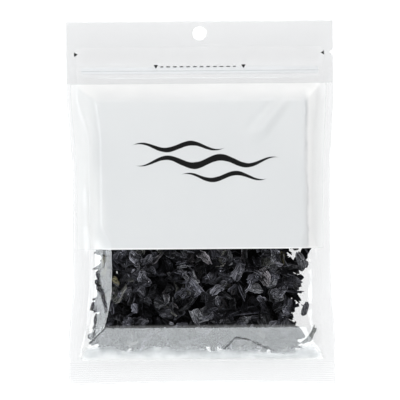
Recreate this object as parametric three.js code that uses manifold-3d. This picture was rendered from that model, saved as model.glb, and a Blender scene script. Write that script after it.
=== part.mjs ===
// A flat zip pouch of cut dried wakame, lying on its back. Millimetres, +Z up.
// +X is the pouch's right and +Y its top, as seen from the printed front, which faces up.
// The origin is under the middle of the pouch, on the surface that it lies on.

import * as THREE from "three";
import { mergeVertices } from "three/addons/utils/BufferGeometryUtils.js";
import Module from "manifold-3d";

const wasm = await Module();
wasm.setup();

// Driving dimensions of the pouch
const POUCH_WIDTH = 160;
const POUCH_LENGTH = 218;
const FILM_THICKNESS = 0.5;
const SEAL_GAP = 0.1; // between the two sheets where they are sealed
const SEAL_HEIGHT = 8; // middle of the seals, above the surface
const FRONT_RISE = 9; // the filled front stands this far above its seals
const SIDE_SEAL = 6;
const BOTTOM_SEAL = 14;
const TOP_SEAL = 15.5;

// The filled part draws the edges in: how far, and where that begins and is at its most
const LEFT_WAIST = 3.3;
const RIGHT_WAIST = 2.4;
const BOTTOM_WAIST = 1.4;
const WAIST_TOP = { begins: 71, full: 14 };
const WAIST_BOTTOM = { begins: -86, full: -46 };
const WAIST_REACH = 62; // from the middle line

// Where the filled part begins to rise (foot) and is full (shoulder), on each side
const FRONT_FORM = {
  left: { foot: -67, shoulder: -53 },
  right: { foot: 69, shoulder: 62 },
  top: { foot: 71.5, shoulder: 61 },
  bottom: { foot: -95, shoulder: -74 },
};
const BACK_FORM = {
  left: { foot: -70, shoulder: -48 },
  right: { foot: 70, shoulder: 50 },
  top: { foot: 71.5, shoulder: 52 },
  bottom: { foot: -95, shoulder: -70 },
};

// Header: hang hole, tear notch and press-to-close zip
const HANG_HOLE = { y: 101.7, radius: 4.2, sides: 32 };
const TEAR_NOTCH = { y: 90, depth: 2.2, height: 1.8 };
const ZIP_Y = 79.4;
const ZIP_HALF_LENGTH = 71;
const ZIP_FULL = 71.6; // half the length of the swell at its full height
const ZIP_SWELL = 1.1; // each sheet stands off by this much over the zip
const ZIP_FLAT = 2.4; // half the width of the swell's flat top
const ZIP_FOOT = 3.8; // half the width of the whole swell
const ZIP_CLEARANCE = 0.1;

// Wakame: flakes stand out of a smaller core, and stay this far inside the film
const FLAKE_THICKNESS = 0.8;
const FILM_CLEARANCE = 0.75;
const CORE_INSET = 0.2; // top and bottom of the core, as a share of the space there
const CORE_FILL = 0.4; // how far up the slopes the core reaches, as a share of the rise
const LEAST_FILL = 0.34; // and the flakes
const FLAKE_SEED = 20417;

const { clamp, lerp, smoothstep } = THREE.MathUtils;
const FRONT_LEVEL = SEAL_HEIGHT + (SEAL_GAP + FILM_THICKNESS) / 2;
const BACK_LEVEL = SEAL_HEIGHT - (SEAL_GAP + FILM_THICKNESS) / 2;
const BACK_DROP = BACK_LEVEL - FILM_THICKNESS / 2; // to the surface
const HALF_WIDTH = POUCH_WIDTH / 2;
const HALF_LENGTH = POUCH_LENGTH / 2;
const SEAL_X = HALF_WIDTH - SIDE_SEAL;
const SEAL_Y = -HALF_LENGTH + BOTTOM_SEAL;

// Form of the filled pouch

// 0 at the foot of a slope, 1 at its shoulder and beyond
const slope = (at, { foot, shoulder }) => {
  const t = clamp((at - foot) / (shoulder - foot), 0, 1);
  return t * t * (3 - 2 * t);
};

// How full the pouch is at a point: the lowest of its four slopes, so corners have a hip
function fill(x, y, form) {
  return Math.min(
    slope(x, form.left),
    slope(x, form.right),
    slope(y, form.top),
    slope(y, form.bottom),
  );
}

function zipSwell(x, y) {
  const across = 1 - smoothstep(Math.abs(y - ZIP_Y), ZIP_FLAT, ZIP_FOOT);
  const along = 1 - smoothstep(Math.abs(x), ZIP_FULL, SEAL_X);
  return ZIP_SWELL * across * along;
}

const frontHeight = (x, y) =>
  FRONT_LEVEL + FRONT_RISE * fill(x, y, FRONT_FORM) + zipSwell(x, y);
const backHeight = (x, y) =>
  BACK_LEVEL - BACK_DROP * fill(x, y, BACK_FORM) - zipSwell(x, y);

// The edges are drawn in along the filled part, and the bottom edge bows up in its middle.
function drawnIn(x, y) {
  const above = smoothstep(-y, -WAIST_TOP.begins, -WAIST_TOP.full);
  const below = smoothstep(y, WAIST_BOTTOM.begins, WAIST_BOTTOM.full);
  const side = smoothstep(Math.abs(x), WAIST_REACH, SEAL_X) * above * below;
  const shift = x < 0 ? LEFT_WAIST * side : -RIGHT_WAIST * side;
  const bow = BOTTOM_WAIST * (1 - (x / HALF_WIDTH) ** 2);
  const low = clamp((SEAL_Y - y) / BOTTOM_SEAL, 0, 1);
  return [x + shift, y + bow * low];
}

// Solids

// A sheet of even thickness on a grid of points, with both faces split alike.
function sheetGeometry(columns, rows, point, thickness) {
  const grid = new THREE.PlaneGeometry(1, 1, columns, rows);
  const middle = grid.getAttribute("position");
  const uv = grid.getAttribute("uv");
  for (let i = 0; i < middle.count; i++) {
    middle.setXYZ(i, ...point(uv.getX(i) * columns, uv.getY(i) * rows));
  }
  grid.computeVertexNormals();
  const normal = grid.getAttribute("normal");
  const count = middle.count;
  const vertices = new Float32Array(count * 6);
  const place = new THREE.Vector3();
  const offset = new THREE.Vector3();
  for (let i = 0; i < count; i++) {
    offset.fromBufferAttribute(normal, i).multiplyScalar(thickness / 2);
    place.fromBufferAttribute(middle, i).add(offset).toArray(vertices, i * 3);
    place.fromBufferAttribute(middle, i).sub(offset).toArray(vertices, (count + i) * 3);
  }
  const faces = [];
  for (const [a, b, c] of gridFaces(columns, rows)) {
    faces.push(a, b, c, count + a, count + c, count + b);
  }
  for (const [a, b] of rim(columns, rows)) {
    faces.push(a, count + b, b, a, count + a, count + b);
  }
  return new THREE.BufferGeometry()
    .setAttribute("position", new THREE.BufferAttribute(vertices, 3))
    .setIndex(faces);
}

// The faces of a grid of vertices, split along the diagonals that run to its middle
function gridFaces(columns, rows) {
  const faces = [];
  for (let row = 0; row < rows; row++) {
    for (let column = 0; column < columns; column++) {
      const a = row * (columns + 1) + column;
      const [b, c, d] = [a + columns + 1, a + columns + 2, a + 1];
      const rising = (column < columns / 2) !== (row < rows / 2);
      faces.push(...(rising ? [[a, b, d], [b, c, d]] : [[a, b, c], [a, c, d]]));
    }
  }
  return faces;
}

// The edges round a grid of vertices, in the order that its faces turn
function rim(columns, rows) {
  const at = (column, row) => row * (columns + 1) + column;
  const edges = [];
  for (let i = 0; i < columns; i++) {
    edges.push([at(i + 1, 0), at(i, 0)], [at(i, rows), at(i + 1, rows)]);
  }
  for (let j = 0; j < rows; j++) {
    edges.push([at(0, j), at(0, j + 1)], [at(columns, j + 1), at(columns, j)]);
  }
  return edges;
}

function toSolid(geometry) {
  const bare = geometry.clone();
  bare.deleteAttribute("normal");
  bare.deleteAttribute("uv");
  const merged = mergeVertices(bare, 1e-4);
  return new wasm.Manifold(
    new wasm.Mesh({
      numProp: 3,
      vertProperties: merged.getAttribute("position").array,
      triVerts: new Uint32Array(merged.index.array),
    }),
  );
}

function toGeometry(solid) {
  const { vertProperties, triVerts } = solid.getMesh();
  const geometry = new THREE.BufferGeometry()
    .setAttribute("position", new THREE.BufferAttribute(vertProperties, 3))
    .setIndex(new THREE.BufferAttribute(triVerts, 1));
  geometry.computeVertexNormals();
  return geometry;
}

// Film sheets

// Grid lines, closer together where the film bends
const PLATEAU_X = [-36, -18, 0, 18, 36];
const PLATEAU_Y = [-58, -44, -28, -12, 4, 20, 36, 48];
const slopeLines = ({ foot, shoulder }) =>
  [0, 0.25, 0.5, 0.75, 1].map((t) => lerp(foot, shoulder, t));
const zipLines = [-ZIP_FOOT, -ZIP_FLAT, ZIP_FLAT, ZIP_FOOT].map((d) => ZIP_Y + d);

function filmLines(form) {
  const across = [-HALF_WIDTH, -SEAL_X, -ZIP_FULL, ...slopeLines(form.left), ...PLATEAU_X];
  across.push(...slopeLines(form.right).reverse(), ZIP_FULL, SEAL_X, HALF_WIDTH);
  const along = [-HALF_LENGTH, ...slopeLines(form.bottom), ...PLATEAU_Y];
  along.push(...slopeLines(form.top).reverse(), ...zipLines);
  along.push(HALF_LENGTH - TOP_SEAL, HALF_LENGTH);
  return { across, along };
}

function filmGeometry(form, height) {
  const { across, along } = filmLines(form);
  const point = (column, row) => {
    const [x, y] = [across[Math.round(column)], along[Math.round(row)]];
    return [...drawnIn(x, y), height(x, y)];
  };
  return sheetGeometry(across.length - 1, along.length - 1, point, FILM_THICKNESS);
}

function headerCuts() {
  const { y, radius, sides } = HANG_HOLE;
  const reach = 3 * SEAL_HEIGHT;
  const hole = new THREE.CylinderGeometry(radius, radius, reach, sides);
  hole.rotateX(Math.PI / 2).translate(0, y, SEAL_HEIGHT);
  const { depth, height } = TEAR_NOTCH;
  const wedge = new THREE.Shape([
    new THREE.Vector2(HALF_WIDTH - depth, TEAR_NOTCH.y),
    new THREE.Vector2(HALF_WIDTH + 1, TEAR_NOTCH.y - height),
    new THREE.Vector2(HALF_WIDTH + 1, TEAR_NOTCH.y + height),
  ]);
  const notch = new THREE.ExtrudeGeometry(wedge, { depth: reach, bevelEnabled: false });
  return toSolid(hole).add(toSolid(notch));
}

const cuts = headerCuts();
const frontFilm = toSolid(filmGeometry(FRONT_FORM, frontHeight)).subtract(cuts);
const backFilm = toSolid(filmGeometry(BACK_FORM, backHeight)).subtract(cuts);

// Zip: a grooved track inside the front sheet, and a rail with a bead inside the back one

const ZIP_OUTER = SEAL_GAP / 2 + ZIP_SWELL - ZIP_CLEARANCE; // from the seals' middle
const ZIP_BASE = 0.4;
const ZIP_HALF_BASE = 2.1;
const LIP_INNER = 0.32; // half the groove's mouth
const LIP_OUTER = 1.05;
const GROOVE_HALF = 0.62; // half the groove's width inside
const LIP_END = -0.3;
const HOOK_TOP = 0; // the lips turn in below this
const BEAD_HALF = 0.5;
const STEM_HALF = 0.2;
const BEAD_TOP = 0.5;
const BEAD_UNDER = 0.12;

function zipStrip(half) {
  const points = half.map(([y, z]) => new THREE.Vector2(y, z));
  const mirrored = half.map(([y, z]) => new THREE.Vector2(-y, z)).reverse();
  const depth = 2 * ZIP_HALF_LENGTH;
  const strip = new THREE.ExtrudeGeometry(new THREE.Shape([...points, ...mirrored]), {
    depth,
    bevelEnabled: false,
  });
  const [x, y, z] = [0, 1, 2].map((i) => new THREE.Vector3().setComponent(i, 1));
  strip.applyMatrix4(new THREE.Matrix4().makeBasis(y, z, x));
  return strip.translate(-ZIP_HALF_LENGTH, ZIP_Y, SEAL_HEIGHT);
}

const zipTrack = zipStrip([
  [ZIP_HALF_BASE, ZIP_OUTER],
  [ZIP_HALF_BASE, ZIP_OUTER - ZIP_BASE],
  [LIP_OUTER, ZIP_OUTER - ZIP_BASE],
  [LIP_OUTER, LIP_END],
  [LIP_INNER, LIP_END],
  [LIP_INNER, HOOK_TOP],
  [GROOVE_HALF, HOOK_TOP],
  [GROOVE_HALF, ZIP_OUTER - ZIP_BASE],
]);
const zipRail = zipStrip([
  [ZIP_HALF_BASE, -ZIP_OUTER],
  [ZIP_HALF_BASE, ZIP_BASE - ZIP_OUTER],
  [STEM_HALF, ZIP_BASE - ZIP_OUTER],
  [STEM_HALF, BEAD_UNDER],
  [BEAD_HALF, BEAD_UNDER],
  [STEM_HALF, BEAD_TOP],
]);

// Wakame: torn, curled flakes of dried leaf, pressed together in the pouch

// Seeded numbers from 0 to 1
function seeded(seed) {
  let state = seed;
  return () => {
    state = (state + 0x6d2b79f5) | 0;
    let t = Math.imul(state ^ (state >>> 15), 1 | state);
    t = (t + Math.imul(t ^ (t >>> 7), 61 | t)) ^ t;
    return ((t ^ (t >>> 14)) >>> 0) / 4294967296;
  };
}

const random = seeded(FLAKE_SEED);
const between = (low, high) => lerp(low, high, random());

const roof = (x, y) => frontHeight(x, y) - FILM_THICKNESS / 2;
const floor = (x, y) => backHeight(x, y) + FILM_THICKNESS / 2;
const fullness = (x, y) => Math.min(fill(x, y, FRONT_FORM), fill(x, y, BACK_FORM));

// Where the flakes may lie: pulled towards the middle until the pouch is full enough there
const MIDDLE = new THREE.Vector2(5, -12);
const PULL = 0.02; // share of the way to the middle, at each pull
function keptIn(x, y, least) {
  const place = new THREE.Vector2(x, y);
  while (fullness(place.x, place.y) < least) {
    place.lerp(MIDDLE, PULL);
  }
  return place;
}

// The level at a share of the way up between the sheets, clear of both
function level(x, y, share, clearance) {
  return lerp(floor(x, y) + clearance, roof(x, y) - clearance, clamp(share, 0, 1));
}

// The inside of the heap: a box on a grid, shaped to a smaller copy of the space
const CORE_COLUMNS = 11;
const CORE_ROWS = 14;
function coreGeometry() {
  const { left, right, bottom, top } = FRONT_FORM;
  const [width, length] = [right.foot - left.foot, top.foot - bottom.foot];
  const core = new THREE.BoxGeometry(width, length, 1, CORE_COLUMNS, CORE_ROWS, 1);
  core.translate(left.foot + width / 2, bottom.foot + length / 2, 0);
  const position = core.getAttribute("position");
  for (let i = 0; i < position.count; i++) {
    const { x, y } = keptIn(position.getX(i), position.getY(i), CORE_FILL);
    const share = position.getZ(i) > 0 ? 1 - CORE_INSET : CORE_INSET;
    position.setXYZ(i, x, y, level(x, y, share, 0));
  }
  return core;
}

// One flake: a leaf scrap on a small grid, with torn ends, a lengthwise fold and a curl
const FLAKE_COLUMNS = 2;
const FLAKE_ROWS = 2;
function flakeGeometry({ x, y, share, heading, long, wide, fold, curl, tilt, skew }) {
  const [cos, sin] = [Math.cos(heading), Math.sin(heading)];
  const clearance = FILM_CLEARANCE + FLAKE_THICKNESS / 2;
  const point = (column, row) => {
    const u = column / FLAKE_COLUMNS - 0.5;
    const v = row / FLAKE_ROWS - 0.5;
    const taper = 1 - skew.taper * v - 0.9 * v * v;
    const across = wide * u * taper + skew.side * v * v;
    const along = long * (v + skew.end * u * (v > 0 ? 1 : -1) * Math.abs(v));
    const px = x + across * cos - along * sin;
    const py = y + across * sin + along * cos;
    const { x: keptX, y: keptY } = keptIn(px, py, LEAST_FILL);
    const depth = roof(keptX, keptY) - floor(keptX, keptY) - 2 * clearance;
    const bend = curl * (4 * v * v - 0.3) + fold * (Math.abs(u) * 2 - 0.5) + tilt * v * long;
    return [keptX, keptY, level(keptX, keptY, share + bend / depth, clearance)];
  };
  return sheetGeometry(FLAKE_COLUMNS, FLAKE_ROWS, point, FLAKE_THICKNESS);
}

function flakeAt(x, y, share) {
  return {
    x,
    y,
    share,
    heading: between(0, 2 * Math.PI),
    long: between(15, 24),
    wide: between(8, 14),
    fold: between(-1.6, 1.6),
    curl: between(-1.4, 1.4),
    tilt: between(-0.3, 0.3),
    skew: { taper: between(-0.7, 0.7), side: between(-5, 5), end: between(-0.6, 0.6) },
  };
}

// Flakes on a staggered lattice over the heap, moved about by chance
const UPPER = { pitch: 16, share: 0.93, spread: 4 };
const LOWER = { pitch: 24, share: 0.07, spread: 4 };
const SHARE_SPREAD = 0.06;
function layer({ pitch, share, spread }) {
  const flakes = [];
  const { left, right, bottom, top } = FRONT_FORM;
  let stagger = 0;
  for (let y = bottom.foot; y < top.foot; y += (pitch * Math.sqrt(3)) / 2) {
    for (let x = left.foot + stagger; x < right.foot; x += pitch) {
      const [px, py] = [x + between(-spread, spread), y + between(-spread, spread)];
      if (fullness(px, py) > LEAST_FILL / 2) {
        flakes.push(flakeAt(px, py, share + between(-SHARE_SPREAD, SHARE_SPREAD)));
      }
    }
    stagger = pitch / 2 - stagger;
  }
  return flakes;
}

// The flakes and the core as one body, without the few flakes that touch nothing
const SHORTEST_EDGE = 0.1;
function wakameHeap() {
  const flakes = [...layer(UPPER), ...layer(LOWER)];
  const solids = flakes.map((flake) => toSolid(flakeGeometry(flake)));
  const heap = wasm.Manifold.union([toSolid(coreGeometry()), ...solids]);
  const bodies = heap.simplify(SHORTEST_EDGE).decompose();
  bodies.sort((a, b) => b.volume() - a.volume());
  return bodies[0];
}

// Materials and the assembly

const clearFilm = () =>
  new THREE.MeshStandardMaterial({
    color: 0xf0f1f2,
    roughness: 0.28,
    metalness: 0,
    transparent: true,
    opacity: 0.45,
  });
const zipPlastic = () =>
  new THREE.MeshStandardMaterial({ color: 0xe4e6e8, roughness: 0.4, metalness: 0 });
const driedLeaf = () =>
  new THREE.MeshStandardMaterial({ color: 0x24272a, roughness: 0.6, metalness: 0 });

function part(name, geometry, material) {
  const mesh = new THREE.Mesh(geometry, material);
  mesh.name = name;
  return mesh;
}

const pouch = new THREE.Group();
pouch.add(
  part("front_film", toGeometry(frontFilm), clearFilm()),
  part("back_film", toGeometry(backFilm), clearFilm()),
  part("zip_track", zipTrack, zipPlastic()),
  part("zip_rail", zipRail, zipPlastic()),
  part("wakame_flakes", toGeometry(wakameHeap()), driedLeaf()),
);

export default pouch;
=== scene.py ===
# A flat zip pouch of cut dried wakame, lying on its back with its printed front up.
# +X is the pouch's right, +Y its top and +Z up, out of the printed front.

import math
import random

import bmesh
import bpy
import numpy as np
from mathutils import Matrix, Vector, noise


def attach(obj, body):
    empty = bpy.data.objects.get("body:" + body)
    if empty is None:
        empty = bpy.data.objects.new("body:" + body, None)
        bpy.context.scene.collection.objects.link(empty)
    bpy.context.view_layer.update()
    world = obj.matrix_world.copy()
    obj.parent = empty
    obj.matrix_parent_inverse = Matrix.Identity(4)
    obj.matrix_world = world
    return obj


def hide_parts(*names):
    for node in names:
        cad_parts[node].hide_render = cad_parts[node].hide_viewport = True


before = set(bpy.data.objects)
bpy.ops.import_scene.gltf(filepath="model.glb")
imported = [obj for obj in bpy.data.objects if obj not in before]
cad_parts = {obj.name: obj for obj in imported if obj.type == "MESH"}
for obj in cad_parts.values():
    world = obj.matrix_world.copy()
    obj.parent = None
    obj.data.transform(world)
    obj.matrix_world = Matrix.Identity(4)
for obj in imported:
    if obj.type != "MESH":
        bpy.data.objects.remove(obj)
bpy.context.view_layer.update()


# Back sheet of the pouch: clear laminated film, blown and printed in a long web and cut to length.
# The heap presses its middle flat on the table, and hot bars have welded its edges to the front sheet.

MM = 0.001
POUCH_WIDTH = 160  # these lengths are in millimetres
POUCH_LENGTH = 218
FILM = 0.14
SEAL_HEIGHT = 8
SHEET_LIFT = 0.1  # each sheet's middle, from the middle of the seals
SIDE_SEAL, BOTTOM_SEAL, TOP_SEAL = 6, 14, 15.5
SIDE_WELD = POUCH_WIDTH / 2 - SIDE_SEAL  # where each weld begins, from the pouch's middle
LOW_WELD = BOTTOM_SEAL - POUCH_LENGTH / 2
TOP_WELD = POUCH_LENGTH / 2 - TOP_SEAL
LEFT_WAIST, RIGHT_WAIST, BOTTOM_WAIST = 3.3, 2.4, 1.4
WAIST_START = 62  # the sides are drawn in from here outwards
WAIST_TOP, WAIST_LOW = (71, 14), (-86, -46)  # not at all at the first place, wholly at the second
BACK_DROP = SEAL_HEIGHT - SHEET_LIFT - FILM / 2
BACK_LEFT, BACK_RIGHT = (-70, -48), (70, 50)  # the back's slopes, each from its foot to the flat middle
BACK_TOP, BACK_LOW = (71.5, 52), (-95, -70)
BACK_WAVE = 0.5
FREE_SIDE, FREE_TOP, FREE_LOW = (75, 70), (76, 70), (-96, -91)  # inside these the film is free of its welds
ZIP_Y, ZIP_HALF_LENGTH, ZIP_SWELL = 79.4, 71, 1.1
ZIP_FLANK, ZIP_END = (6.4, 2.3), (78, 71.4)  # where its swelling starts and where it is whole
HOLE_Y, HOLE_RADIUS = 101.7, 4.2
HOLE_BLOCK, HOLE_RINGS = 3, 4  # steps of the grid that are cut out, and the rings of it bent round them
NOTCH_Y, NOTCH_DEPTH, NOTCH_HEIGHT = 90, 2.2, 1.8


def straight(at, low, high):
    return np.clip((at - low) / (high - low), 0, 1)


def smooth(at, low, high):
    share = straight(at, low, high)
    return share * share * (3 - 2 * share)


def waist(x, y):
    """How far the filling draws a point of the flat film sideways."""
    filled = smooth(y, *WAIST_TOP) * smooth(y, *WAIST_LOW)
    side = smooth(np.abs(x), WAIST_START, SIDE_WELD) * filled
    return np.where(x < 0, LEFT_WAIST * side, -RIGHT_WAIST * side)


def drawn_in(x, y):
    """Where a point of the flat film goes as the edges are drawn in and the notch is cut."""
    bow = BOTTOM_WAIST * (1 - (2 * x / POUCH_WIDTH) ** 2)
    low = straight(y, LOW_WELD, -POUCH_LENGTH / 2)
    tear = NOTCH_DEPTH * np.clip(1 - np.abs(y - NOTCH_Y) / NOTCH_HEIGHT, 0, 1)
    tear = tear * straight(x, SIDE_WELD, POUCH_WIDTH / 2)
    return x + waist(x, y) - tear, y + bow * low


def zip_swell(x, y):
    return ZIP_SWELL * smooth(np.abs(y - ZIP_Y), *ZIP_FLANK) * smooth(np.abs(x), *ZIP_END)


def ripple(x, y, size, seed):
    """Smooth chance, about -1 to 1, that changes over this size."""
    flat = [noise.noise(Vector((a / size, b / size, seed))) for a, b in zip(x.flat, y.flat)]
    return np.array(flat).reshape(x.shape)


columns, rows = np.meshgrid(np.arange(POUCH_WIDTH + 1), np.arange(POUCH_LENGTH + 1))
flat_x = columns - POUCH_WIDTH / 2
flat_y = rows - POUCH_LENGTH / 2

back_fill = np.minimum.reduce(
    [
        smooth(flat_x, *BACK_LEFT),
        smooth(flat_x, *BACK_RIGHT),
        smooth(flat_y, *BACK_TOP),
        smooth(flat_y, *BACK_LOW),
    ]
)
inside = smooth(np.abs(flat_x), *FREE_SIDE) * smooth(flat_y, *FREE_TOP) * smooth(flat_y, *FREE_LOW)
slack = inside * (1 - back_fill)
back_height = SEAL_HEIGHT - SHEET_LIFT - BACK_DROP * back_fill - zip_swell(flat_x, flat_y)
back_height += BACK_WAVE * slack * ripple(flat_x, flat_y, size=11, seed=3.7)
back_height = np.maximum(back_height, FILM / 2)


def finished(name, bm):
    mesh = bpy.data.meshes.new(name)
    bm.to_mesh(mesh)
    bm.free()
    piece = bpy.data.objects.new(name, mesh)
    bpy.context.scene.collection.objects.link(piece)
    return piece


def film_sheet(name, height):
    """A sheet on a millimetre grid, with the hang hole and the tear notch cut in it."""
    bm = bmesh.new()
    bm.loops.layers.uv.new("flat")
    bmesh.ops.create_grid(
        bm, x_segments=POUCH_WIDTH, y_segments=POUCH_LENGTH, size=0.5, calc_uvs=True
    )
    centre_row = round(HOLE_Y + POUCH_LENGTH / 2)
    cut = []
    for v in bm.verts:
        column = round((v.co.x + 0.5) * POUCH_WIDTH)
        row = round((v.co.y + 0.5) * POUCH_LENGTH)
        x, y = drawn_in(flat_x[row, column], flat_y[row, column])
        step_x, step_y = column - POUCH_WIDTH // 2, row - centre_row
        ring = max(abs(step_x), abs(step_y))
        if ring < HOLE_BLOCK:
            cut.append(v)
        elif ring < HOLE_BLOCK + HOLE_RINGS:
            out = (ring - HOLE_BLOCK) / HOLE_RINGS
            turn = math.atan2(step_y, step_x)
            reach = HOLE_RADIUS + ring - HOLE_BLOCK
            x += (1 - out) * (reach * math.cos(turn) - x)
            y += (1 - out) * (HOLE_Y + reach * math.sin(turn) - y)
        v.co = (x * MM, y * MM, height[row, column] * MM)
    bmesh.ops.delete(bm, geom=cut, context="VERTS")
    bmesh.ops.recalc_face_normals(bm, faces=bm.faces[:])
    for face in bm.faces:
        face.smooth = True
    return finished(name, bm)


def thicken(piece, thickness):
    wall = piece.modifiers.new("thickness", "SOLIDIFY")
    wall.thickness = thickness * MM
    wall.offset = 0
    return piece


class Wire:
    """One socket in a material. Operators on it add Math nodes, and node adds any other."""

    def __init__(self, tree, socket=None):
        self.tree = tree
        self.socket = socket

    def node(self, kind, settings=None, inputs=None, output=0):
        made = self.tree.nodes.new("ShaderNode" + kind)
        for name, value in (settings or {}).items():
            if name == "stops":
                ramp = made.color_ramp
                while len(ramp.elements) < len(value):
                    ramp.elements.new(0.5)
                for stop, (place, colour) in zip(ramp.elements, value):
                    stop.position = place
                    stop.color = colour
            else:
                setattr(made, name, value)
        for name, value in (inputs or {}).items():
            if isinstance(value, Wire):
                self.tree.links.new(value.socket, made.inputs[name])
            else:
                made.inputs[name].default_value = value
        return Wire(self.tree, made.outputs[output] if made.outputs else None)

    def maths(self, operation, first, second=0.0):
        return self.node("Math", {"operation": operation}, {0: first, 1: second})

    def __add__(self, other):
        return self.maths("ADD", self, other)

    def __radd__(self, other):
        return self.maths("ADD", other, self)

    def __sub__(self, other):
        return self.maths("SUBTRACT", self, other)

    def __rsub__(self, other):
        return self.maths("SUBTRACT", other, self)

    def __mul__(self, other):
        return self.maths("MULTIPLY", self, other)

    def __rmul__(self, other):
        return self.maths("MULTIPLY", other, self)

    def __truediv__(self, other):
        return self.maths("DIVIDE", self, other)

    def __abs__(self):
        return self.maths("ABSOLUTE", self)

    def most(self, other):
        return self.maths("MAXIMUM", self, other)

    def rise(self, low, high):
        """0 below low and 1 above high, smoothly; the other way round where high is the lower."""
        return self.node(
            "MapRange",
            {"interpolation_type": "SMOOTHSTEP"},
            {"Value": self, "From Min": low, "From Max": high},
        )

    def band(self, low, high, soft):
        """1 between low and high, with soft ends."""
        return self.rise(low - soft, low + soft) * self.rise(high + soft, high - soft)


def new_material(name):
    material = bpy.data.materials.new(name)
    material.use_nodes = True
    material.node_tree.nodes.clear()
    return material, Wire(material.node_tree)


def show(wire, shader):
    wire.node("OutputMaterial", {}, {"Surface": shader})


def film_place(wire):
    """Across and along the flat film, in millimetres from its middle."""
    place = wire.node("UVMap", {"uv_map": "flat"})
    across = (wire.node("SeparateXYZ", {}, {0: place}, "X") - 0.5) * POUCH_WIDTH
    along = (wire.node("SeparateXYZ", {}, {0: place}, "Y") - 0.5) * POUCH_LENGTH
    return across, along


def welded(across, along):
    """1 where the two sheets are sealed together."""
    sides = abs(across).rise(SIDE_WELD - 0.4, SIDE_WELD + 0.2)
    foot = along.rise(LOW_WELD + 0.2, LOW_WELD - 0.4)
    return sides.most(foot).most(along.rise(TOP_WELD - 0.3, TOP_WELD + 0.3))


FACE_SHINE = 0.04  # what each face of the film sends straight back


def film_shader(wire, ink_colour, cover):
    """Clear glossy film with ink on it: the cover is how much the ink hides what is behind."""
    grain = wire.node("TexNoise", {}, {"Scale": 900.0, "Detail": 3.0, "Roughness": 0.6})
    bump = wire.node("Bump", {}, {"Strength": 0.05, "Distance": 0.0002, "Height": grain})
    through = wire.node("BsdfTransparent", {}, {"Color": (0.993, 0.994, 0.995, 1)})
    gloss = wire.node(
        "BsdfGlossy", {}, {"Color": (1, 1, 1, 1), "Roughness": 0.07, "Normal": bump}
    )
    facing = wire.node("LayerWeight", {}, {"Blend": 0.5, "Normal": bump}, "Facing")
    glance = FACE_SHINE + (1 - FACE_SHINE) * wire.maths("POWER", facing, 5.0)
    clear = wire.node("MixShader", {}, {0: glance, 1: through, 2: gloss})
    ink = wire.node(
        "BsdfPrincipled", {}, {"Base Color": ink_colour, "Roughness": 0.3, "Normal": bump}
    )
    return wire.node("MixShader", {}, {0: cover, 1: clear, 2: ink})


BACK_PANEL = ((-66, 64), (-22, 66))  # a plain printed block, across and along
BACK_INK = (0.8, 0.81, 0.82, 1)
BACK_COVER = 0.95
WELD_MILK = 0.012

back_finish, wire = new_material("clear_back_film")
across, along = film_place(wire)
(left, right), (low, high) = BACK_PANEL
back_print = across.band(left, right, 0.2) * along.band(low, high, 0.2)
milk = WELD_MILK * welded(across, along)
show(wire, film_shader(wire, BACK_INK, milk.most(back_print * BACK_COVER)))

back_film = thicken(film_sheet("back_film_sheet", back_height), FILM)
back_film.data.materials.append(back_finish)
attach(back_film, "root")
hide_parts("back_film")


# Zip: a beaded rail and a grooved track, extruded in milky polyethylene and welded inside the two sheets.
# Pressed together they close the pouch again after its top has been torn off.

DULL_ZIP, BRIGHT_ZIP = (0.91, 0.915, 0.92, 1), (0.96, 0.96, 0.965, 1)


def own_place(wire):
    """A point's place in the piece itself, in metres."""
    return wire.node("TexCoord", {}, {}, "Object")


def show_solid(wire, inputs):
    show(wire, wire.node("BsdfPrincipled", {}, inputs))


zip_finish, wire = new_material("milky_zip_plastic")
drawn = wire.node("Mapping", {}, {"Vector": own_place(wire), "Scale": (30, 900, 900)})
streak = wire.node("TexNoise", {}, {"Vector": drawn, "Scale": 1.0, "Detail": 2.0})
tone = wire.node("ValToRGB", {"stops": [(0.3, DULL_ZIP), (0.7, BRIGHT_ZIP)]}, {0: streak})
show_solid(wire, {"Base Color": tone, "Roughness": 0.35 + 0.15 * streak})
for name in ("zip_track", "zip_rail"):
    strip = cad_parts[name]
    strip.data.materials.clear()
    strip.data.materials.append(zip_finish)


# Front sheet's form: the same film, swollen by the heap into a low pillow with a flat top. It stands steep
# on the right, leans on the left and bottom, and is slack between the pillow and the welded edges.

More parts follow.
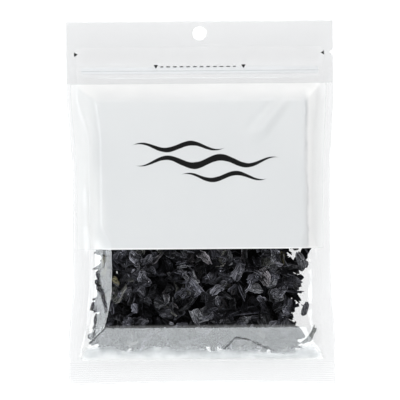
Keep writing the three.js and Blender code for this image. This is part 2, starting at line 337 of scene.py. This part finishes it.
FRONT_RISE = 9
LEFT_FOOT, LEFT_SHOULDER = -69, -58.5  # a slope's foot and the edge of the flat top, before they stray
RIGHT_FOOT, RIGHT_SHOULDER = 69, 61
FRONT_TOP, FRONT_LOW = (71.5, 60), (-96, -73.4)
LEFT_LEAN = 23  # degrees, where the film leans on the heap beside the window
KNEE = 11  # the leaning film bends this far out from the shoulder
SLACK_WAVE, PILLOW_WAVE, FINE_WAVE, STREAK_WAVE = 0.8, 0.3, 0.05, 0.45  # heights
FOLDS = [  # a soft ridge from one point to another, its half-width and its height
    ((52, 63), (33, 38), 3.2, 1.5),
    ((46, 63), (27, 42), 2.6, -1.0),
    ((-76, 68), (-62, 42), 2.2, 0.6),
    ((10.5, -89), (20, -78.5), 1.4, 0.44),
    ((18, -78.6), (29, -80.5), 1.4, 0.4),
    ((27, -80), (50, -91), 1.5, 0.4),
    ((-46, -95), (-40, -86), 3.0, -0.2),
    ((-22, -95), (-18, -88), 2.5, 0.15),
    ((76, -92), (66, -78), 1.8, 0.5),
    ((-73, -93), (-60, -77), 1.8, 0.5),
    ((62.5, 68), (63.6, 46), 1.1, 1.0),
    ((63.8, 50), (61.6, 24), 1.0, 0.7),
    ((61.4, 27), (63.4, 2), 1.1, 0.9),
    ((63.6, 6), (62.6, -27), 1.0, 0.8),
    ((66.5, 58), (66.0, 36), 1.3, -0.9),
    ((65.5, 22), (66.5, -2), 1.2, -0.8),
    ((66.5, -8), (65.8, -26), 1.1, -0.9),
    ((72, 30), (70, 2), 1.6, 0.4),
    ((71, -8), (73, -40), 1.5, -0.4),
    ((-72, 10), (-70, -30), 1.6, 0.45),
    ((-69, -40), (-73, -66), 1.5, -0.35),
]


def fold(x, y, start, end, half_width, height):
    (x0, y0), (x1, y1) = start, end
    length = math.hypot(x1 - x0, y1 - y0)
    along = ((x - x0) * (x1 - x0) + (y - y0) * (y1 - y0)) / length
    beside = ((x - x0) * (y1 - y0) - (y - y0) * (x1 - x0)) / length
    ends = smooth(along, -0.15 * length, 0.3 * length) * smooth(along, 1.15 * length, 0.7 * length)
    return height * ends * np.exp(-((beside / half_width) ** 2))


def facet(at, foot, shoulder, flatness):
    """A slope that is partly a flat facet with a crisp shoulder, and partly a soft wave."""
    return flatness * straight(at, foot, shoulder) + (1 - flatness) * smooth(at, foot, shoulder)


def soft_ends(share):
    """A slope that lifts off gently where it starts and rounds over at its top."""
    foot, top = 0.16, 0.05
    lifted = np.where(share < 2 * foot, share * share / (4 * foot), share - foot)
    rounded = 1 - foot - top - (1 - share) ** 2 / (4 * top)
    return np.where(share > 1 - 2 * top, rounded, lifted) / (1 - foot - top)


top_corner = smooth(flat_y, 36, 70)
low_corner = smooth(flat_y, -72, -95)
window = smooth(flat_y, -16, -34)
leaning = smooth(flat_y, -11, -28.5)
left_low, right_low = smooth(flat_y, -52, -76), smooth(flat_y, -58, -74)
wander = window * ripple(0 * flat_x, flat_y, size=13, seed=8.8)
left_foot = LEFT_FOOT - 6 * top_corner - 4 * low_corner
left_shoulder = LEFT_SHOULDER + 5.5 * leaning - 3 * top_corner - 4 * left_low
right_foot = RIGHT_FOOT + 3 * top_corner + 5 * window
right_shoulder = RIGHT_SHOULDER + 2 * top_corner - 3 * window + 5 * wander + 3 * right_low

knee = left_shoulder - KNEE
knee_fill = 1 - KNEE * math.tan(math.radians(LEFT_LEAN)) / FRONT_RISE
draped = np.where(
    flat_x < knee,
    knee_fill * smooth(flat_x, left_foot, knee),
    knee_fill + (1 - knee_fill) * straight(flat_x, knee, left_shoulder),
)
left_slope = facet(flat_x, left_foot, left_shoulder, 0.1)
left_slope = left_slope + leaning * (draped - left_slope)
front_fill = np.minimum.reduce(
    [
        left_slope,
        facet(flat_x, right_foot, right_shoulder, 0.3 + 0.5 * window),
        smooth(flat_y, *FRONT_TOP),
        soft_ends(straight(flat_y, *FRONT_LOW)),
    ]
)
slack = inside * (1 - front_fill) * smooth(np.abs(flat_x), 58, 68)
streaked = window * smooth(flat_x, -70, -62) * smooth(flat_x, -52, -56)
front_height = SEAL_HEIGHT + SHEET_LIFT + FRONT_RISE * front_fill + zip_swell(flat_x, flat_y)
front_height += SLACK_WAVE * slack * (0.6 + ripple(flat_x, flat_y, size=12, seed=9.1))
front_height += PILLOW_WAVE * front_fill * ripple(flat_x, flat_y, size=34, seed=5.3)
front_height += FINE_WAVE * inside * ripple(flat_x, flat_y, size=7, seed=1.3)
front_height += STREAK_WAVE * streaked * ripple(2.2 * flat_x, 0.6 * flat_y, size=9, seed=6.2)
for ridge in FOLDS:
    front_height += inside * fold(flat_x, flat_y, *ridge)
front_height = np.maximum(front_height, back_height + 2 * SHEET_LIFT)


# Wakame: young sea leaf, boiled, cut and dried. It shrinks to thin blue-black scraps, curled and wrinkled
# along their length, with a few brown or green ones. They lie loose in the pouch, packed flat by its film.

LEAF = 0.34
CLEAR_OF_FILM = 0.2
STREWN_X, STREWN_Y = (-68, 72), (-94, 62)  # where scraps may come to lie
HIDDEN_ABOVE, HIDDEN_SHARE = -18, 0.45  # this share is left out behind the printed panel
RIGHT_EDGE, LEFT_EDGE, LOW_EDGE = 52.6, -57, -91  # the heap's sides, before they fray
LEFT_OUT_BEYOND = 0.97  # a few scraps lie past them
LEAF_TONES = [  # colour, and how common it is
    ((0.150, 0.150, 0.176), 30),
    ((0.300, 0.299, 0.338), 34),
    ((0.320, 0.300, 0.318), 4),
    ((0.460, 0.462, 0.495), 22),
    ((0.600, 0.600, 0.560), 5),
    ((0.42, 0.38, 0.23), 0.8),
    ((0.58, 0.57, 0.52), 0.4),
]
PALEST = 0.6
LIGHT_REACH = 0.45  # painted shade: how deep in the heap the scraps' colour falls to about a third, in millimetres
LEAST_LIGHT, SIDE_LIGHT = 0.004, 0.2  # painted shade and light: what the deepest scraps keep of their colour, and the least that those at the heap's sides keep
chance = random.Random(5127)


def sampled(grid, x, y):
    """A height over the table from the sheet's grid, for arrays of places in millimetres."""
    across = x - waist(x, y) + POUCH_WIDTH / 2
    along = y + POUCH_LENGTH / 2
    i = np.clip(across.astype(int), 0, POUCH_WIDTH - 1)
    j = np.clip(along.astype(int), 0, POUCH_LENGTH - 1)
    a, b = across - i, along - j
    upper = grid[j + 1, i] * (1 - a) + grid[j + 1, i + 1] * a
    lower = grid[j, i] * (1 - a) + grid[j, i + 1] * a
    return lower * (1 - b) + upper * b


def leaf_scrap(long, wide, roll, twist, bend, crumple, cells):
    """One torn scrap of leaf round the origin, as a small grid, in millimetres."""
    bm = bmesh.new()
    bm.loops.layers.uv.new("leaf")
    bmesh.ops.create_grid(bm, x_segments=cells[0], y_segments=cells[1], size=0.5, calc_uvs=True)
    seed = chance.uniform(0, 500)
    taper, blunt = chance.uniform(-0.7, 0.7), chance.uniform(0.1, 0.9)
    for v in bm.verts:
        u, w = v.co.x, v.co.y
        tear = 1 + 0.55 * noise.noise(Vector((seed + (9 if u > 0 else 0), w * 4, 0.3)))
        breadth = wide * tear * (1 - taper * w - blunt * (2 * w) ** 4 * 0.6)
        end = 1 + 0.35 * noise.noise(Vector((seed + 31, u * 3.5, 1.7 + (5 if w > 0 else 0))))
        x = breadth * u
        z = 0.0
        if roll:
            turn = 2 * u * roll
            x, z = breadth / (2 * roll) * math.sin(turn), breadth / (2 * roll) * (1 - math.cos(turn))
        spin = twist * w
        x, z = x * math.cos(spin) - z * math.sin(spin), x * math.sin(spin) + z * math.cos(spin)
        rough = noise.noise(Vector((seed, u * 3.2, w * 3.2 * long / wide * 0.6)))
        v.co = (x + bend * 4 * w * w, long * w * end, z + crumple * rough)
    mesh = bpy.data.meshes.new("scrap")
    bm.to_mesh(mesh)
    bm.free()
    return mesh


def scrap_kinds(count, long, wide, roll, twist, bend, crumple, cells):
    """Scraps drawn from ranges of size, roll and crumple, and up to the most twist and bend."""
    made = []
    for _ in range(count):
        made.append(
            leaf_scrap(
                chance.uniform(*long),
                chance.uniform(*wide),
                chance.uniform(*roll) * chance.choice((-1, 1)),
                chance.uniform(-twist, twist),
                chance.uniform(-bend, bend),
                chance.uniform(*crumple),
                cells,
            )
        )
    return made


plates = scrap_kinds(10, (11, 17), (7, 10.5), (0.1, 0.45), 0.4, 1.0, (0.3, 0.7), (4, 7))
leaves = scrap_kinds(30, (9, 16), (5, 9), (0.25, 1.1), 0.9, 1.6, (0.5, 1.2), (4, 7))
strips = scrap_kinds(20, (9, 18), (3, 5), (0.6, 1.7), 1.8, 2.8, (0.4, 1.0), (3, 8))
crumbs = scrap_kinds(12, (2.2, 5), (1.4, 3.2), (0.3, 1.0), 0.8, 0.5, (0.2, 0.6), (2, 3))


def nearby(heights, pick):
    """The lowest or the highest of a sheet's heights within a millimetre of each place."""
    steps = (-1, 0, 1)
    return pick.reduce([np.roll(heights, (i, j), (0, 1)) for i in steps for j in steps])


roof_height = nearby(front_height, np.minimum) - CLEAR_OF_FILM - LEAF / 2
floor_height = nearby(back_height, np.maximum) + CLEAR_OF_FILM + LEAF / 2


def room(x, y):
    return sampled(roof_height, x, y) - sampled(floor_height, x, y)


def frayed(at, seed, broad, fine):
    """How far the heap's edge strays at a place along it, in broad bays and in small ones."""
    bay = noise.noise(Vector((at / 13, seed, 0)))
    return broad * bay + fine * noise.noise(Vector((at / 4, seed + 2.9, 0)))


def beyond_heap(x, y):
    """0 in the heap, rising to 1 or more past its ragged sides."""
    right = RIGHT_EDGE + frayed(y, 2.2, broad=8, fine=5)
    left = LEFT_EDGE - 4 * smooth(y, -68, -79) + frayed(y, 7.4, broad=5, fine=3)
    low = LOW_EDGE + frayed(x, 6.6, broad=6, fine=2)
    out = smooth(x, right - 2, right + 3) + smooth(x, left + 2, left - 3)
    return out + smooth(y, low + 1, low - 4)


def heap_layer(name, scraps, count, depth, least_room, tipping):
    """Scraps strewn over the heap, each at a share of the depth from the front sheet down."""
    bm = bmesh.new()
    tone_and_shade = bm.verts.layers.float_color.new("leaf_tone")
    tones, weights = zip(*LEAF_TONES)
    placed = 0
    while placed < count:
        x, y = chance.uniform(*STREWN_X), chance.uniform(*STREWN_Y)
        space = float(room(np.array(x), np.array(y)))
        hidden = HIDDEN_SHARE if y > HIDDEN_ABOVE else 0
        if space < least_room or chance.random() < max(hidden, LEFT_OUT_BEYOND * beyond_heap(x, y)):
            continue
        placed += 1
        before = len(bm.verts)
        bm.from_mesh(chance.choice(scraps))
        bm.verts.ensure_lookup_table()
        scrap = bm.verts[before:]
        turn = Matrix.Rotation(chance.uniform(0, 2 * math.pi), 3, "Z")
        tip = Matrix.Rotation(chance.gauss(0, tipping), 3, "X")
        tip = tip @ Matrix.Rotation(chance.gauss(0, tipping), 3, "Y")
        size = chance.uniform(0.5, 1.05)
        points = np.array([turn @ tip @ (v.co * size) for v in scrap])
        px, py = points[:, 0] + x, points[:, 1] + y
        for _ in range(6):  # what reaches into a seam is drawn back until it fits
            tight = room(px, py) < LEAF
            px = np.where(tight, px + 0.3 * (x - px), px)
            py = np.where(tight, py + 0.3 * (y - py), py)
        roof = sampled(roof_height, px, py)
        floor = sampled(floor_height, px, py)
        level = roof + (floor - roof) * chance.uniform(*depth) + points[:, 2]
        level = level - max(0, np.max(level - roof))
        level = np.clip(level, floor, roof)
        tone = Vector(chance.choices(tones, weights)[0])
        tone = tone * min(chance.uniform(0.2, 2.8), PALEST / max(tone))
        # Painted shade and light: each scrap's colour darkens with its depth under the film, and is painted
        # lighter at the heap's sides as if lit from there.
        sunk = np.minimum(roof - level, level - floor)
        sunk = 0.5 * sunk + 0.5 * sunk.mean()
        lit = LEAST_LIGHT + (1 - LEAST_LIGHT) * np.exp(-sunk / LIGHT_REACH)
        lit = np.maximum(lit, SIDE_LIGHT * np.maximum(smooth(px, 52, 61), smooth(px, -52, -59)))
        for v, a, b, c, share in zip(scrap, px, py, level, lit):
            v.co = (a * MM, b * MM, c * MM)
            v[tone_and_shade] = (*(tone * share), 1)
    for face in bm.faces:
        face.smooth = True
    piece = thicken(finished(name, bm), LEAF)
    piece.modifiers["thickness"].material_offset_rim = 1
    return piece


def scaled(wire, tone, gain):
    return wire.node("VectorMath", {"operation": "SCALE"}, {0: tone, "Scale": gain})


LEAF_GLOSS = 0.03

leaf_finish, wire = new_material("dried_wakame_leaf")
# The vertex colour holds the scraps' tone together with their painted shade.
tone = wire.node("VertexColor", {"layer_name": "leaf_tone"})
leaf = wire.node("UVMap", {"uv_map": "leaf"})
place = own_place(wire)
beside = abs(wire.node("SeparateXYZ", {}, {0: leaf}, "X") - 0.5)
toward_end = abs(wire.node("SeparateXYZ", {}, {0: leaf}, "Y") - 0.5)
lengthwise = wire.node("Mapping", {}, {"Vector": leaf, "Scale": (7, 1.3, 1)})
wrinkle = wire.node(
    "TexNoise", {}, {"Vector": lengthwise, "Scale": 1.6, "Detail": 4.0, "Distortion": 0.7}
)
pleated = wire.node("Mapping", {}, {"Vector": leaf, "Scale": (4, 1.5, 1)})
pleat = wire.node(
    "TexNoise", {}, {"Vector": pleated, "Scale": 1.0, "Detail": 2.0, "Distortion": 0.5}
)
blotch = wire.node(
    "TexNoise", {}, {"Vector": place, "Scale": 420.0, "Detail": 4.0, "Roughness": 0.65}
)
salt = wire.node("TexNoise", {}, {"Vector": place, "Scale": 1100.0, "Detail": 1.0})
mottle = (blotch * 0.5 + wrinkle * 0.5).rise(0.4, 0.6)
# Painted highlights: each scrap is lighter along its rim and along the crests of its pleats.
rim_highlight = beside.most(toward_end).rise(0.43, 0.49) * blotch.rise(0.42, 0.56)
crest_highlight = pleat.band(0.46, 0.54, 0.03)
gain = 0.1 + 0.5 * mottle + 0.6 * rim_highlight + 1.05 * crest_highlight + 9 * salt.rise(0.73, 0.77)
fine = wire.node("Bump", {}, {"Strength": 0.5, "Distance": 0.0003, "Height": blotch})
furrow = wire.node(
    "Bump", {}, {"Strength": 0.7, "Distance": 0.0008, "Height": wrinkle, "Normal": fine}
)
show_solid(
    wire,
    {
        "Base Color": scaled(wire, tone, gain),
        "Roughness": 0.4 + 0.3 * blotch,
        "Specular IOR Level": LEAF_GLOSS,
        "Normal": furrow,
    },
)

# The scraps' cut edges are painted lighter than their faces: a painted highlight where the edges catch
# light.
edge_highlight_finish, wire = new_material("dried_wakame_cut_edge")
fibre = wire.node("TexNoise", {}, {"Vector": own_place(wire), "Scale": 700.0, "Detail": 3.0})
tone = wire.node("VertexColor", {"layer_name": "leaf_tone"})
show_solid(
    wire,
    {
        "Base Color": scaled(wire, tone, 0.6 + 1.1 * fibre.rise(0.4, 0.65)),
        "Roughness": 0.4 + 0.3 * fibre,
        "Specular IOR Level": LEAF_GLOSS,
    },
)

CORE_X, CORE_HALF_WIDTH = 1, 50
CORE_Y, CORE_HALF_LENGTH = -12.5, 73.5
CORE_DEPTH = 0.62  # its share of the room between the sheets
# Near black: painted shade of the heap's deep inside, seen through gaps between the scraps.
CORE_PAINTED_SHADE = (0.0004, 0.0004, 0.0004, 1)


def heap_core(name):
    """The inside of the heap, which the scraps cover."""
    bm = bmesh.new()
    bm.loops.layers.uv.new("leaf")
    tone_and_shade = bm.verts.layers.float_color.new("leaf_tone")
    bmesh.ops.create_cube(bm, size=1, calc_uvs=True)
    bmesh.ops.subdivide_edges(bm, edges=bm.edges[:], cuts=40, use_grid_fill=True)
    for v in bm.verts:
        end = 2.5 * noise.noise(Vector((v.co.x * 14, v.co.y, 1.9)))
        y = CORE_Y + v.co.y * 2 * (CORE_HALF_LENGTH + end)
        side = 3 * noise.noise(Vector((y / 8, v.co.x, 4.1)))
        x = CORE_X + v.co.x * 2 * (CORE_HALF_WIDTH + side)
        a, b = np.array(x), np.array(y)
        top, under = float(sampled(front_height, a, b)), float(sampled(back_height, a, b))
        bump = 0.12 * noise.noise(Vector((x / 6, y / 6, v.co.z * 3)))
        share = 0.5 + v.co.z * (CORE_DEPTH + bump)
        v.co = (x * MM, y * MM, (under + (top - under) * share) * MM)
        v[tone_and_shade] = CORE_PAINTED_SHADE
    bmesh.ops.recalc_face_normals(bm, faces=bm.faces[:])
    for face in bm.faces:
        face.smooth = True
    return finished(name, bm)


heap = [
    heap_core("wakame_core"),
    heap_layer("wakame_under", leaves + strips, 700, (0.8, 0.98), 3.0, 0.3),
    heap_layer("wakame_middle", leaves + strips, 1000, (0.1, 0.35), 2.4, 0.5),
    heap_layer("wakame_leaves", plates * 3 + leaves * 2, 430, (0.0, 0.05), 1.4, 0.14),
    heap_layer("wakame_strips", strips * 3 + crumbs * 2, 330, (0.0, 0.08), 0.8, 0.2),
]
for piece in heap:
    piece.data.materials.append(leaf_finish)
    piece.data.materials.append(edge_highlight_finish)
    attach(piece, "root")
    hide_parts("wakame_flakes")


# Front sheet of the pouch: clear film, printed with a white block above a clear window. Small black marks
# show where to tear the header off and where the zip is.

PANEL_TOP, PANEL_BOTTOM = 71.6, -27.5
PANEL_LEFT, PANEL_RIGHT = -77.6, 75.6
PANEL_COVER = 0.97
WHITE_INK = (0.875, 0.872, 0.865, 1)
INK_IN_PAINTED_SHADE = (0.715, 0.72, 0.722, 1)  # partly the dark heap seen through the ink, partly painted shade: greyer over the pillow's flat top than on its slopes
CREASE_PAINTED_SHADE = (0.56, 0.565, 0.575, 1)  # painted shade along a crease
BLACK_INK = (0.01, 0.01, 0.01, 1)
# Leaf dust on the film, with painted sheen of the lower slope's reflection.
DUST_AND_PAINTED_SHEEN = (0.61, 0.625, 0.63, 1)
HEADER_TINT = (0.46, 0.46, 0.47, 1)
CUT_EDGE_TINT = (0.4, 0.41, 0.42, 1)
# The zip's line is a painted shadow.
HEADER_MILK, CRIMP_MILK, ZIP_SHADOW_MILK, CUT_EDGE_MILK = 0.1, 0.03, 0.09, 0.1
CRIMP_PITCH = 1.3
DASH_PITCH = 4.0
DASHES = ((-23.5, 21.5), (81.3, 82.0))  # the dashed line's ends, and its lower and upper edge
POINTER_SIZE = 2.2
POINTERS = [  # a small triangle's place, and its way: 1 for right, -1 for left and 0 for down
    (-75.4, 89.4, 1),
    (74.9, 89.7, -1),
    (-26.3, 82.8, 0),
    (26.2, 82.8, 0),
]
WAVES = [  # a brush stroke's middle, half-length, swing, period and half-thickness
    (-13, 33.5, 27, 2.0, 30, 1.5),
    (4, 24.5, 42, 2.4, 32, 2.0),
    (14, 15.5, 25, 2.0, 29, 1.4),
]

front_finish, wire = new_material("printed_front_film")
across, along = film_place(wire)
place = own_place(wire)
wisp = wire.node("TexNoise", {}, {"Vector": place, "Scale": 70.0, "Detail": 3.0})
cloud = wire.node("TexNoise", {}, {"Vector": place, "Scale": 26.0, "Detail": 2.0})
bristle = wire.node("TexNoise", {}, {"Vector": place, "Scale": 160.0, "Detail": 2.0})

panel = across.band(PANEL_LEFT, PANEL_RIGHT, 0.15) * along.band(PANEL_BOTTOM, PANEL_TOP, 0.15)
header = along.rise(71.4, 71.9)
teeth = wire.maths("SINE", along * (2 * math.pi / CRIMP_PITCH))
crimp = along.rise(LOW_WELD, LOW_WELD - 0.6) * (0.5 + 0.5 * teeth)
zip_run = abs(across).rise(ZIP_HALF_LENGTH + 0.2, ZIP_HALF_LENGTH - 0.2)
over_zip = along.band(ZIP_Y - 2.1, ZIP_Y + 2.1, 0.3) * zip_run
# Painted shadow: a thin grey line along the zip.
zip_shadow_line = along.band(ZIP_Y - 0.5, ZIP_Y, 0.2) * zip_run
# Painted light: the header's milky ink is thinner over the zip, which lightens it.
milk = WELD_MILK * welded(across, along) + HEADER_MILK * header * (1 - 0.6 * over_zip)
milk = milk + CRIMP_MILK * crimp + ZIP_SHADOW_MILK * zip_shadow_line
# Leaf dust and painted sheen: a grey veil over the lower slope stands in for its reflection, turning white
# toward the foot.
slope = along.rise(-72, -75.2) * along.rise(-95.5, -92.5) * abs(across).rise(76, 66)
strayed = along + 11 * (wisp - 0.5) + 9 * (cloud - 0.5)
dust_and_sheen = slope * (0.14 + 0.76 * strayed.rise(-84.5, -94))


def pointer(x, y, toward):
    """A small filled triangle that points along X (1 or -1), or down (0)."""
    if toward:
        run, beside = (across - x) * toward, abs(along - y)
    else:
        run, beside = y - along, abs(across - x)
    within = (POINTER_SIZE - run) * 0.6 - beside
    return within.rise(-0.1, 0.1) * run.rise(-0.1, 0.1)


def brushed_wave(x, y, half_length, swing, period, thick):
    """A wavy brush stroke that thins to both ends."""
    run = (across - x) / half_length
    middle = y + swing * wire.maths("SINE", (across - x) * (2 * math.pi / period))
    within = thick * (1 - run * run) * (0.8 + 0.4 * bristle) - abs(along - middle)
    return within.rise(-0.15, 0.15)


def laid_over(under, colour, share):
    """A colour where this share of another is laid over it; 6 and 7 are the node's two colours."""
    return wire.node("Mix", {"data_type": "RGBA"}, {0: share, 6: under, 7: colour}, 2)


(left, right), (low, high) = DASHES
dash = wire.maths("FRACT", across / DASH_PITCH).rise(0.55, 0.5)
marks = 0.8 * dash * across.band(left, right, 0.1) * along.band(low, high, 0.1)
for spot in POINTERS:
    marks = marks.most(pointer(*spot))
for wave in WAVES:
    marks = marks.most(brushed_wave(*wave))

# Partly the dark heap seen through the ink and partly painted shade: the ink is greyer over the pillow's
# flat top, whiter on its slopes and along the panel's lower edge.
from_left = across + 0.06 * along + 9 * (cloud - 0.5)
from_top = along + 14 * (cloud - 0.5) + 5 * (wisp - 0.5)
painted_shade_over_heap = from_left.rise(-67, -55) * across.rise(65.5, 62.5) * from_top.rise(72, 59)
painted_shade_over_heap = painted_shade_over_heap * (0.7 + 0.28 * cloud + 0.16 * along.rise(62, 10))
lower_rim = along.rise(PANEL_BOTTOM + 0.9, PANEL_BOTTOM + 0.6)
# Painted shade along the wandering crease at the panel's right.
past_crease = across - 62.2 - 5 * (wisp - 0.5) - 3 * (cloud - 0.5)
crease_shade = past_crease.rise(-0.5, 0.2) * past_crease.rise(2.6, 0.4) * along.band(-26, 62, 3)
crease_shade = crease_shade * wisp.rise(0.3, 0.7) * 0.75
cut_edge = abs(across).rise(79.2, 79.8).most(abs(along).rise(108.2, 108.8))

ink = laid_over(WHITE_INK, INK_IN_PAINTED_SHADE, painted_shade_over_heap * (1 - lower_rim))
ink = laid_over(ink, CREASE_PAINTED_SHADE, crease_shade)
ink = laid_over(ink, HEADER_TINT, header)
ink = laid_over(ink, laid_over(DUST_AND_PAINTED_SHEEN, WHITE_INK, strayed.rise(-89.5, -96)), slope)
ink = laid_over(ink, CUT_EDGE_TINT, cut_edge)
ink = laid_over(ink, BLACK_INK, marks)
cover = milk.most(panel * PANEL_COVER).most(marks).most(dust_and_sheen).most(cut_edge * CUT_EDGE_MILK)
show(wire, film_shader(wire, ink, cover))

front_film = thicken(film_sheet("front_film_sheet", front_height), FILM)
front_film.data.materials.append(front_finish)
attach(front_film, "root")
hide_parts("front_film")


# Table, lights and camera: a white table under five soft boxes, with the camera straight above the pouch.
# The foot, corner and left boxes mirror in the film's slopes, and the other two only light the pouch.

TABLE_DROP = 0.1  # so that the film doesn't touch it
COOL = (0.93, 0.975, 1.0)
FAINT_GLOW, SEEN_GLOW = 0.005, 0.9  # the room's light on the pouch, and what the camera sees on top

table_finish, wire = new_material("white_table")
show_solid(
    wire,
    {
        "Base Color": (0.3, 0.3, 0.3, 1),
        "Roughness": 0.9,
        "Specular IOR Level": 0.1,
        "Emission Color": (1, 1, 1, 1),
        "Emission Strength": 0.83,
    },
)
bm = bmesh.new()
bmesh.ops.create_grid(bm, x_segments=1, y_segments=1, size=3)
bmesh.ops.translate(bm, verts=bm.verts, vec=(0, 0, -TABLE_DROP * MM))
table = finished("table", bm)
table.data.materials.append(table_finish)


def soft_box(name, place, size, power, colour=(1, 1, 1), mirrored=True):
    light = bpy.data.lights.new(name, "AREA")
    light.color = colour
    light.shape = "RECTANGLE"
    light.size, light.size_y = size
    light.energy = power
    lamp = bpy.data.objects.new(name, light)
    bpy.context.scene.collection.objects.link(lamp)
    lamp.location = place
    lamp.visible_glossy = mirrored
    lamp.rotation_euler = (-Vector(place)).to_track_quat("-Z", "Y").to_euler()


soft_box("key_box", (-0.65, 0.85, 0.8), (1.4, 1.1), 10, mirrored=False)
soft_box("foot_box", (0.0, -0.92, 0.77), (0.8, 0.8), 8.4, COOL)
soft_box("corner_box", (-0.75, -0.75, 0.55), (0.4, 0.5), 1.5)
soft_box("left_box", (-0.87, -0.06, 0.84), (0.45, 0.45), 3.7, COOL)
soft_box("right_box", (0.9, 0.8, 0.7), (1.3, 1.2), 17, mirrored=False)

world = bpy.data.worlds.new("studio")
world.use_nodes = True
world.node_tree.nodes.clear()
wire = Wire(world.node_tree)
seen = wire.node("LightPath", {}, {}, "Is Camera Ray")
glow = wire.node(
    "Background", {}, {"Color": (1, 1, 1, 1), "Strength": FAINT_GLOW + SEEN_GLOW * seen}
)
wire.node("OutputWorld", {}, {"Surface": glow})
bpy.context.scene.world = world

FRAME_WIDTH = 240.16  # millimetres across the picture, at the height of the seals
LENS, SENSOR = 135, 36
CAMERA_X, CAMERA_Y = -0.45, 1.65
CAMERA_TURN = -0.45  # degrees
lens = bpy.data.cameras.new("camera")
lens.lens = LENS
lens.sensor_width = SENSOR
camera = bpy.data.objects.new("camera", lens)
bpy.context.scene.collection.objects.link(camera)
camera_height = FRAME_WIDTH * LENS / SENSOR + SEAL_HEIGHT
camera.location = (CAMERA_X * MM, CAMERA_Y * MM, camera_height * MM)
camera.rotation_euler = (0, 0, math.radians(CAMERA_TURN))
bpy.context.scene.camera = camera
bpy.context.scene.view_settings.view_transform = "Standard"
